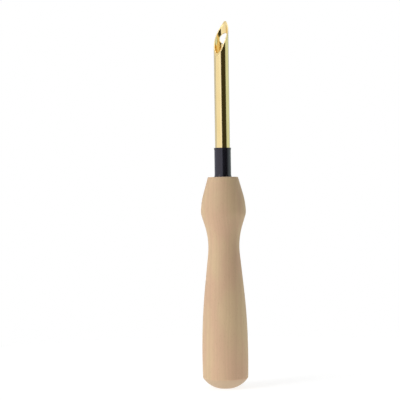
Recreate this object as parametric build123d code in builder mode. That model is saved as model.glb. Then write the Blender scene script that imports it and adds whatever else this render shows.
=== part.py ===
from build123d import *
from math import hypot, radians, sin, tan
import os

# Punch needle: a turned wooden handle, a bevelled tube needle and a sleeve that slides on it.
# Millimetres, +Z up along the tool. The origin is the centre of the butt end, where the yarn goes in.
# The needle's open bevel faces -Y, and its eye is in the wall behind, on +Y.

# Driving dimensions
OVERALL_LENGTH = 150.0
HANDLE_LENGTH = 86.0
NEEDLE_DIAMETER = 6.0
NEEDLE_WALL = 0.5
SEAT_DEPTH = 25.0
SLEEVE_LENGTH = 11.9
SLEEVE_WALL = 0.34
YARN_HOLE_DIAMETER = 5.5

# Fits, as the gap between two round walls
GLUE_GAP = 0.03
SLIDING_GAP = 0.02

# Worked out from those
NEEDLE_RADIUS = NEEDLE_DIAMETER / 2
BORE_RADIUS = NEEDLE_RADIUS - NEEDLE_WALL
ROOT_Z = HANDLE_LENGTH - SEAT_DEPTH
TIP_Z = OVERALL_LENGTH

# Handle outline as (radius, height). The corners from belly to shoulder are rounded off by arcs.
BUTT_FLAT = (3.3, 0.0)
BUTT_CORNER = (9.25, 4.25)
BELLY = (9.62, 25.15)
WAIST = (5.87, 60.5)
RIDGE = (9.27, 71.35)
SHOULDER = (8.87, 76.4)
NOSE = (6.15, HANDLE_LENGTH)
DOME_ARC = 10.0
BELLY_ARC = 265.0
WAIST_ARC = 28.7
RIDGE_ARC = 6.0
SHOULDER_ARC = 26.5
BUTT_EDGE = 0.7
NOSE_EDGE = 0.25
MOUTH_EDGE = 0.45

# Bevel outline seen from the side, a curve from the heel to past the tip, pulled by two more points,
# all as (y, depth below the tip): steep at the heel, slanted across the middle, steep along the tongue
HEEL = (-3.2, 16.1)
HEEL_PULL = (-1.6, 7.2)
TONGUE_PULL = (2.7, 4.0)
TONGUE = (2.9, -1.5)
RIM_EDGE = 0.1

# Tip outline seen from the front: a blunt point
TIP_ROUND = 0.8
TIP_HALF_ANGLE = 32.0
TIP_REACH = 2.4

# Eye in the wall behind the bevel
EYE_WIDTH = 4.2
EYE_HEIGHT = 4.6
EYE_DEPTH = 7.3
EYE_EDGE = 0.1

# Sleeve ends stand a little proud of its middle, as a cut plastic tube's do
SLEEVE_LIP = 0.15
LIP_LENGTH = 1.2
SLEEVE_EDGE = 0.07

# Easing inside the needle's root, so that the yarn runs in without a snag
ROOT_EDGE = 0.3

CUT_ROOM = 1.0
EVEN = 0.001


def make_handle():
    """Turned handle with the needle's seat in its nose and the yarn's way in through its butt."""
    with BuildPart() as handle:
        with BuildSketch(Plane.XZ):
            with BuildLine():
                Line((0, 0), BUTT_FLAT)
                RadiusArc(BUTT_FLAT, BUTT_CORNER, -DOME_ARC)
                corners = [BUTT_CORNER, BELLY, WAIST, RIDGE, SHOULDER, NOSE]
                arcs = [BELLY_ARC, WAIST_ARC, RIDGE_ARC, SHOULDER_ARC]
                FilletPolyline(*corners, radius=arcs)
                Polyline(NOSE, (0, HANDLE_LENGTH), (0, 0))
            make_face()
        revolve(axis=Axis.Z)
        rings = handle.edges().filter_by(GeomType.CIRCLE).sort_by(Axis.Z)
        fillet(rings[-1], NOSE_EDGE)
        fillet(rings.sort_by(lambda ring: abs(ring.center().Z - BUTT_CORNER[1]))[0], BUTT_EDGE)
        Hole(YARN_HOLE_DIAMETER / 2)
        with Locations((0, 0, HANDLE_LENGTH)):
            Hole(NEEDLE_RADIUS + GLUE_GAP, depth=SEAT_DEPTH)
        mouth = handle.edges().filter_by(GeomType.CIRCLE).group_by(Axis.Z)[0].sort_by(SortBy.RADIUS)[0]
        fillet(mouth, MOUTH_EDGE)
    handle.part.label = "handle"
    return handle.part


def runs_along_wall(edge):
    """Whether an edge is a curve that stays at one distance from the tube's axis, as a cut's rim does."""
    reaches = [hypot(point.X, point.Y) for point in (edge @ 0.1, edge @ 0.5, edge @ 0.9)]
    straight_or_level = edge.geom_type in (GeomType.LINE, GeomType.CIRCLE)
    return not straight_or_level and max(reaches) - min(reaches) < EVEN


def make_needle():
    """Tube needle: a curved bevel opens its front at the tip, and an oval eye pierces the wall behind."""
    across = NEEDLE_RADIUS + CUT_ROOM
    with BuildPart() as needle:
        with BuildSketch(Plane.XY.offset(ROOT_Z)):
            Circle(NEEDLE_RADIUS)
            Circle(BORE_RADIUS, mode=Mode.SUBTRACT)
        extrude(amount=TIP_Z - ROOT_Z)
        root_rings = needle.edges().filter_by(GeomType.CIRCLE).group_by(Axis.Z)[0]
        chamfer(root_rings.sort_by(SortBy.RADIUS)[0], ROOT_EDGE)

        # The bevel, then the tip's blunt point, then both rims eased
        bevel = [(y, TIP_Z - depth) for y, depth in (HEEL, HEEL_PULL, TONGUE_PULL, TONGUE)]
        with BuildSketch(Plane.YZ):
            with BuildLine():
                Bezier(*bevel)
                Polyline(bevel[-1], (bevel[0][0], bevel[-1][1]), bevel[0])
            make_face()
        extrude(amount=across, both=True, mode=Mode.SUBTRACT)
        apex = TIP_ROUND / sin(radians(TIP_HALF_ANGLE)) - TIP_ROUND
        spread = (TIP_REACH + apex) * tan(radians(TIP_HALF_ANGLE))
        shoulders = [(-spread, TIP_Z - TIP_REACH), (spread, TIP_Z - TIP_REACH)]
        with BuildSketch(Plane.XZ):
            with Locations((0, TIP_Z)):
                Rectangle(2 * across, 2 * TIP_REACH)
            with BuildLine():
                FilletPolyline(shoulders[0], (0, TIP_Z + apex), shoulders[1], radius=TIP_ROUND)
                Line(shoulders[1], shoulders[0])
            make_face(mode=Mode.SUBTRACT)
        extrude(amount=-across, mode=Mode.SUBTRACT)
        fillet(needle.edges().filter_by(runs_along_wall), RIM_EDGE)

        with BuildSketch(Plane.XZ):
            with Locations((0, TIP_Z - EYE_DEPTH)):
                Ellipse(EYE_WIDTH / 2, EYE_HEIGHT / 2)
        extrude(amount=-across, mode=Mode.SUBTRACT)
        fillet(needle.edges(Select.LAST).filter_by(runs_along_wall), EYE_EDGE)
    needle.part.label = "needle"
    return needle.part


def make_sleeve():
    """Thin sleeve round the needle's foot. It rests on the handle's nose and slides towards the tip."""
    bore = NEEDLE_RADIUS + SLIDING_GAP
    waist = bore + SLEEVE_WALL
    lip = waist + SLEEVE_LIP
    foot = HANDLE_LENGTH
    top = HANDLE_LENGTH + SLEEVE_LENGTH
    with BuildPart() as sleeve:
        with BuildSketch(Plane.XZ):
            with BuildLine():
                Polyline((lip, foot), (bore, foot), (bore, top), (lip, top))
                Spline((lip, top), (waist, top - LIP_LENGTH), tangents=[(0, -1), (0, -1)])
                Line((waist, top - LIP_LENGTH), (waist, foot + LIP_LENGTH))
                Spline((waist, foot + LIP_LENGTH), (lip, foot), tangents=[(0, -1), (0, -1)])
            make_face()
        revolve(axis=Axis.Z)
        rims = sleeve.edges().filter_by(GeomType.CIRCLE).group_by(Axis.Z)
        fillet(rims[0] + rims[-1], SLEEVE_EDGE)
    sleeve.part.label = "sleeve"
    return sleeve.part


os.makedirs("parts", exist_ok=True)
for part in (make_handle(), make_needle(), make_sleeve()):
    export_step(part, f"parts/{part.label}.step")
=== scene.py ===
"""Punch needle standing on its butt: materials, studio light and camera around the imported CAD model."""

import math

import bpy
from mathutils import Matrix, Vector

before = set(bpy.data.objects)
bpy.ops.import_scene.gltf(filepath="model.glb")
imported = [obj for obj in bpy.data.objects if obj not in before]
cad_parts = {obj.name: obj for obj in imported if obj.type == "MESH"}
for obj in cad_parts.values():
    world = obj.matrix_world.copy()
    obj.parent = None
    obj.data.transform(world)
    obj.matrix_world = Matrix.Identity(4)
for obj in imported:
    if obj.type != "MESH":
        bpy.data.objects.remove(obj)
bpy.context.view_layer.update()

# Lengths are in metres here, and in millimetres inside the materials
MM = 0.001
TO_MM = (1000.0, 1000.0, 1000.0)
WHITE = (1.0, 1.0, 1.0, 1.0)

# The camera: level, on the side where the bevel opens to its left, leaning a little
VIEW_TURN = math.radians(38.5)
LEAN = 0.0137
LENS = 120.0
SENSOR = 36.0
VIEW_WIDTH = 163.38 * MM
AIM_ASIDE = 9.49 * MM
AIM_HEIGHT = 76.62 * MM
CLIP_NEAR = 50.0 * MM
CLIP_FAR = 20.0

# A pale floor that glows a little, so that it meets the white backdrop without an edge
FLOOR_RADIUS = 200.0 * MM
FLOOR_GREY = 0.4
FLOOR_GLOW = 0.74
FLOOR_ROUGHNESS = 0.9

# Beech: two ground colours, then each mark's colour and how much of it shows
BEECH_YELLOW = (0.675, 0.501, 0.296, 1.0)
BEECH_PINK = (0.66, 0.431, 0.28, 1.0)
LATE_WOOD = (0.52, 0.345, 0.215, 1.0)
LATE_WOOD_SHARE = 0.22
FIBRE = (0.54, 0.37, 0.23, 1.0)
FIBRE_SHARE = 0.18
RAY_FLECK = (0.42, 0.26, 0.15, 1.0)
RAY_FLECK_SHARE = 0.26
PORE = (0.34, 0.21, 0.12, 1.0)
PORE_SHARE = 0.12
# End grain colour, partly the wood's own tone and partly painted shade on faces along the handle (butt
# dome, nose top)
END_GRAIN_AND_SHADE = (0.57, 0.425, 0.285, 1.0)
END_GRAIN_AND_SHADE_SHARE = 0.9

# The growth rings, in millimetres. Their pith is off to the side and leans along the grain.
PITH_OFFSET = (24.0, 24.0, 0.0)
PITH_LEAN_X = 0.03
PITH_LEAN_Y = -0.05
RING_WIDTH = 2.1
RING_WANDER = 4.0
RING_UNEVENNESS = 3.0

# How fine each pattern is across and along the tool, as noise cells per millimetre
WANDER_CELLS = (0.07, 0.07, 0.022)
GROWTH_CELLS = 0.4
FIBRE_CELLS = (4.5, 4.5, 0.14)
PORE_CELLS = (9.0, 9.0, 0.8)
FLECK_CELLS = (1.5, 1.5, 0.42)
CLOUD_CELLS = (0.16, 0.16, 0.05)
LATHE_CELLS = 2.2
GOLD_DRAW_CELLS = (9.0, 9.0, 0.05)
GOLD_SMEAR_CELLS = (0.5, 0.5, 0.12)
PLASTIC_DRAW_CELLS = (4.0, 4.0, 0.15)
PLASTIC_GRAIN_CELLS = 6.0

GOLD_PALE = (0.9, 0.715, 0.365, 1.0)
GOLD_DEEP = (0.87, 0.68, 0.33, 1.0)

PLASTIC_DARK = (0.005, 0.005, 0.01, 1.0)
PLASTIC_LIGHT = (0.008, 0.0075, 0.0145, 1.0)
PLASTIC_GLOSS_TINT = (0.95, 0.89, 1.0, 1.0)
PLASTIC_IOR = 1.58

# Panels of light, as spans of turn and height in degrees and a colour. Turn is 0 towards the camera
# and grows to its right; 180 is straight behind the object. Where panels overlap, their light adds up.
PANEL_EDGE = 4.0
PANELS = (
    ((-155, -134), (-45, 20), (0.95, 0.97, 1.0)),
    ((-134, -104), (-45, 20), (0.62, 0.66, 0.76)),
    ((-104, -4), (-45, 22), (1.0, 1.0, 1.02)),
    ((-26, -5), (-45, 22), (0.12, 0.17, 0.25)),
    ((-4, 72), (-45, 20), (0.045, 0.04, 0.018)),
    ((72, 155), (-45, 20), (0.73, 0.86, 0.8)),
    ((-190, -155), (-45, 20), (0.1, 0.09, 0.05)),
    ((155, 190), (-45, 20), (0.1, 0.09, 0.05)),
    ((-190, -100), (20, 50), (0.3, 0.3, 0.3)),
    ((-100, -70), (22, 34), (0.85, 0.85, 0.85)),
    ((-100, -70), (34, 50), (1.2, 1.2, 1.2)),
    ((-70, -40), (22, 50), (5.75, 5.75, 5.75)),
    ((-40, 90), (20, 50), (0.04, 0.04, 0.04)),
    ((90, 140), (20, 50), (1.4, 1.4, 1.4)),
    ((140, 190), (20, 50), (0.2, 0.2, 0.2)),
    ((-190, 190), (50, 98), (0.68, 0.68, 0.68)),
    ((-190, 190), (-98, -45), (0.9, 0.9, 0.9)),
)

view_forward = Vector((-math.sin(VIEW_TURN), math.cos(VIEW_TURN), 0))
view_right = Vector((math.cos(VIEW_TURN), math.sin(VIEW_TURN), 0))
up = Vector((0, 0, 1))


class Nodes:
    """A node tree with short calls for the nodes used here."""

    def __init__(self, tree):
        tree.nodes.clear()
        self.tree = tree

    def add(self, kind, inputs=None, **settings):
        node = self.tree.nodes.new(kind)
        for name, value in settings.items():
            setattr(node, name, value)
        for name, value in (inputs or {}).items():
            self.put(node.inputs[name], value)
        return node

    def put(self, socket, value):
        if isinstance(value, bpy.types.NodeSocket):
            self.tree.links.new(value, socket)
        else:
            socket.default_value = value

    def math(self, operation, a, b=0.0, c=0.0):
        return self.add("ShaderNodeMath", {0: a, 1: b, 2: c}, operation=operation).outputs[0]

    def vector(self, operation, a, b):
        return self.add("ShaderNodeVectorMath", {0: a, 1: b}, operation=operation)

    def dot(self, a, b):
        return self.vector("DOT_PRODUCT", a, b).outputs["Value"]

    def step(self, value, low, high):
        """Smooth step from 0 to 1 as value goes from low to high."""
        inputs = {"Value": value, "From Min": low, "From Max": high}
        return self.add("ShaderNodeMapRange", inputs, interpolation_type="SMOOTHSTEP").outputs["Result"]

    def noise(self, vector, scale, detail=2.0, roughness=0.5):
        inputs = {"Vector": vector, "Scale": scale, "Detail": detail, "Roughness": roughness}
        return self.add("ShaderNodeTexNoise", inputs).outputs["Fac"]

    def noise_along(self, value, scale):
        """Noise that depends on one number."""
        inputs = {"W": value, "Scale": scale, "Detail": 2.0}
        return self.add("ShaderNodeTexNoise", inputs, noise_dimensions="1D").outputs["Fac"]

    def stretch(self, vector, scale):
        return self.vector("MULTIPLY", vector, scale).outputs["Vector"]

    def mix(self, amount, a, b, blend="MIX"):
        node = self.add("ShaderNodeMix", data_type="RGBA", blend_type=blend)
        for socket, value in zip((node.inputs[0], node.inputs[6], node.inputs[7]), (amount, a, b)):
            self.put(socket, value)
        return node.outputs[2]

    def bump(self, height, strength, distance):
        inputs = {"Height": height, "Strength": strength, "Distance": distance}
        return self.add("ShaderNodeBump", inputs).outputs["Normal"]


def new_material(name):
    material = bpy.data.materials.new(name)
    material.use_nodes = True
    nodes = Nodes(material.node_tree)
    shader = nodes.add("ShaderNodeBsdfPrincipled")
    output = nodes.add("ShaderNodeOutputMaterial")
    nodes.tree.links.new(shader.outputs["BSDF"], output.inputs["Surface"])
    place = nodes.add("ShaderNodeTexCoord").outputs["Object"]
    millimetres = nodes.stretch(place, TO_MM)
    return material, nodes, shader, millimetres


def wood_material():
    """Bare sanded beech: faint growth rings round a far pith, fine fibres, ray flecks and lathe marks."""
    material, n, shader, mm = new_material("bare_beech")

    # Growth rings round a pith beside the handle, wandering along the grain and uneven in width
    wander = n.noise(n.stretch(mm, WANDER_CELLS), 1.0, 3.0)
    from_pith = n.vector("ADD", mm, PITH_OFFSET).outputs["Vector"]
    x, y, z = n.add("ShaderNodeSeparateXYZ", {"Vector": from_pith}).outputs
    x = n.math("MULTIPLY_ADD", z, PITH_LEAN_X, x)
    y = n.math("MULTIPLY_ADD", z, PITH_LEAN_Y, y)
    reach = n.math("SQRT", n.math("MULTIPLY_ADD", x, x, n.math("MULTIPLY", y, y)))
    reach = n.math("MULTIPLY_ADD", wander, RING_WANDER, reach)
    growth = n.noise_along(reach, GROWTH_CELLS)
    reach = n.math("MULTIPLY_ADD", growth, RING_UNEVENNESS, reach)
    ring = n.math("FRACT", n.math("DIVIDE", reach, RING_WIDTH))
    late_wood = n.math("MULTIPLY", n.step(ring, 0.1, 0.92), n.step(ring, 1.0, 0.93))

    # Fibres and pores, long and thin along the grain
    fibre = n.noise(n.stretch(mm, FIBRE_CELLS), 1.0, 4.0, 0.6)
    pore = n.step(n.noise(n.stretch(mm, PORE_CELLS), 1.0, 1.0), 0.6, 0.7)

    # Ray flecks, at the middle of each cell
    fleck_inputs = {"Vector": n.stretch(mm, FLECK_CELLS), "Scale": 1.0, "Randomness": 1.0}
    fleck = n.add("ShaderNodeTexVoronoi", fleck_inputs).outputs["Distance"]
    fleck = n.step(fleck, 0.22, 0.1)

    cloud = n.noise(n.stretch(mm, CLOUD_CELLS), 1.0, 3.0)
    colour = n.mix(n.step(cloud, 0.3, 0.7), BEECH_YELLOW, BEECH_PINK)
    colour = n.mix(n.math("MULTIPLY", late_wood, LATE_WOOD_SHARE), colour, LATE_WOOD)
    colour = n.mix(n.math("MULTIPLY", n.step(fibre, 0.35, 0.7), FIBRE_SHARE), colour, FIBRE)
    colour = n.mix(n.math("MULTIPLY", fleck, RAY_FLECK_SHARE), colour, RAY_FLECK)
    colour = n.mix(n.math("MULTIPLY", pore, PORE_SHARE), colour, PORE)

    # End grain, where the surface faces along the handle, is duller and a little darker: partly the
    # wood's own end-grain tone, partly painted shade on the downward-facing butt dome and the nose's flat
    # top
    normal = n.add("ShaderNodeTexCoord").outputs["Normal"]
    facing = n.add("ShaderNodeSeparateXYZ", {"Vector": normal}).outputs["Z"]
    end_grain_and_shade = n.step(n.math("ABSOLUTE", facing), 0.3, 0.75)
    colour = n.mix(n.math("MULTIPLY", end_grain_and_shade, END_GRAIN_AND_SHADE_SHARE), colour, END_GRAIN_AND_SHADE)
    n.put(shader.inputs["Base Color"], colour)
    n.put(shader.inputs["Roughness"], n.math("MULTIPLY_ADD", fibre, 0.16, 0.5))
    shader.inputs["Specular IOR Level"].default_value = 0.3

    # Lathe marks run round the handle, so they depend on the height alone
    height = n.add("ShaderNodeSeparateXYZ", {"Vector": mm}).outputs["Z"]
    lathe = n.noise_along(height, LATHE_CELLS)
    relief = n.math("MULTIPLY_ADD", fibre, 0.5, n.math("MULTIPLY", lathe, 0.6))
    relief = n.math("MULTIPLY_ADD", pore, -0.4, relief)
    n.put(shader.inputs["Normal"], n.bump(relief, 0.35, 0.05 * MM))
    return material


def gold_material():
    """Polished gold plate on drawn tube: faint draw lines along it, and a slightly uneven polish."""
    material, n, shader, mm = new_material("gold_plate")
    shader.inputs["Metallic"].default_value = 1.0
    draw = n.noise(n.stretch(mm, GOLD_DRAW_CELLS), 1.0, 2.0)
    smear = n.noise(n.stretch(mm, GOLD_SMEAR_CELLS), 1.0, 3.0)
    colour = n.mix(n.step(smear, 0.3, 0.7), GOLD_PALE, GOLD_DEEP)
    n.put(shader.inputs["Base Color"], colour)
    roughness = n.math("MULTIPLY_ADD", smear, 0.09, 0.07)
    n.put(shader.inputs["Roughness"], n.math("MULTIPLY_ADD", draw, 0.05, roughness))
    n.put(shader.inputs["Normal"], n.bump(draw, 0.1, 0.01 * MM))
    return material


def plastic_material():
    """Black satin plastic tube, extruded, so its faint lines run along it."""
    material, n, shader, mm = new_material("black_plastic")
    draw = n.noise(n.stretch(mm, PLASTIC_DRAW_CELLS), 1.0, 2.0)
    grain = n.noise(mm, PLASTIC_GRAIN_CELLS, 2.0)
    colour = n.mix(n.step(draw, 0.3, 0.7), PLASTIC_DARK, PLASTIC_LIGHT)
    n.put(shader.inputs["Base Color"], colour)
    n.put(shader.inputs["Roughness"], n.math("MULTIPLY_ADD", draw, 0.1, 0.21))
    shader.inputs["IOR"].default_value = PLASTIC_IOR
    shader.inputs["Specular Tint"].default_value = PLASTIC_GLOSS_TINT
    relief = n.math("MULTIPLY_ADD", draw, 0.7, n.math("MULTIPLY", grain, 0.3))
    n.put(shader.inputs["Normal"], n.bump(relief, 0.2, 0.02 * MM))
    return material


def finish_node(node, material):
    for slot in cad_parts[node].material_slots:
        slot.material = material


def make_floor():
    bpy.ops.mesh.primitive_circle_add(vertices=128, radius=FLOOR_RADIUS, fill_type="NGON")
    floor = bpy.context.object
    floor.name = "floor"
    material = bpy.data.materials.new("floor")
    material.use_nodes = True
    shader = material.node_tree.nodes["Principled BSDF"]
    shader.inputs["Base Color"].default_value = (FLOOR_GREY, FLOOR_GREY, FLOOR_GREY, 1.0)
    shader.inputs["Emission Color"].default_value = WHITE
    shader.inputs["Emission Strength"].default_value = FLOOR_GLOW
    shader.inputs["Roughness"].default_value = FLOOR_ROUGHNESS
    shader.inputs["Specular IOR Level"].default_value = 0.1
    floor.data.materials.append(material)


def between(n, value, low, high, soft):
    """1 where value lies between low and high, fading out across soft each side of both ends."""
    rise = n.step(value, low - soft, low + soft)
    return n.math("MULTIPLY", rise, n.step(value, high + soft, high - soft))


def make_studio():
    """The world as panels of light round the object. The camera itself sees plain white behind it."""
    world = bpy.data.worlds.new("studio")
    bpy.context.scene.world = world
    world.use_nodes = True
    n = Nodes(world.node_tree)
    way = n.add("ShaderNodeTexCoord").outputs["Generated"]
    ahead = n.dot(way, tuple(-view_forward))
    aside = n.dot(way, tuple(view_right))
    turn = n.math("DEGREES", n.math("ARCTAN2", aside, ahead))
    height = n.math("DEGREES", n.math("ARCSINE", n.dot(way, tuple(up))))

    light = (0, 0, 0, 1)
    for turns, heights, colour in PANELS:
        across = between(n, turn, *turns, PANEL_EDGE)
        mask = n.math("MULTIPLY", across, between(n, height, *heights, PANEL_EDGE))
        light = n.mix(mask, light, n.mix(1.0, light, (*colour, 1), "ADD"))

    seen = n.add("ShaderNodeLightPath").outputs["Is Camera Ray"]
    colour = n.mix(seen, light, WHITE)
    background = n.add("ShaderNodeBackground", {"Color": colour, "Strength": 1.0})
    output = n.add("ShaderNodeOutputWorld")
    n.tree.links.new(background.outputs[0], output.inputs["Surface"])


def make_camera():
    data = bpy.data.cameras.new("camera")
    data.lens = LENS
    data.sensor_width = SENSOR
    camera = bpy.data.objects.new("camera", data)
    bpy.context.scene.collection.objects.link(camera)
    right = view_right * math.cos(LEAN) - up * math.sin(LEAN)
    top = up * math.cos(LEAN) + view_right * math.sin(LEAN)
    turned = Matrix((right, top, -view_forward)).transposed().to_4x4()
    aim = up * AIM_HEIGHT - right * AIM_ASIDE
    distance = VIEW_WIDTH / SENSOR * LENS
    camera.matrix_world = Matrix.Translation(aim - view_forward * distance) @ turned
    data.clip_start = CLIP_NEAR
    data.clip_end = CLIP_FAR
    bpy.context.scene.camera = camera


finish_node("handle", wood_material())
finish_node("needle", gold_material())
finish_node("sleeve", plastic_material())
make_floor()
make_studio()
make_camera()
bpy.context.scene.view_settings.view_transform = "Standard"
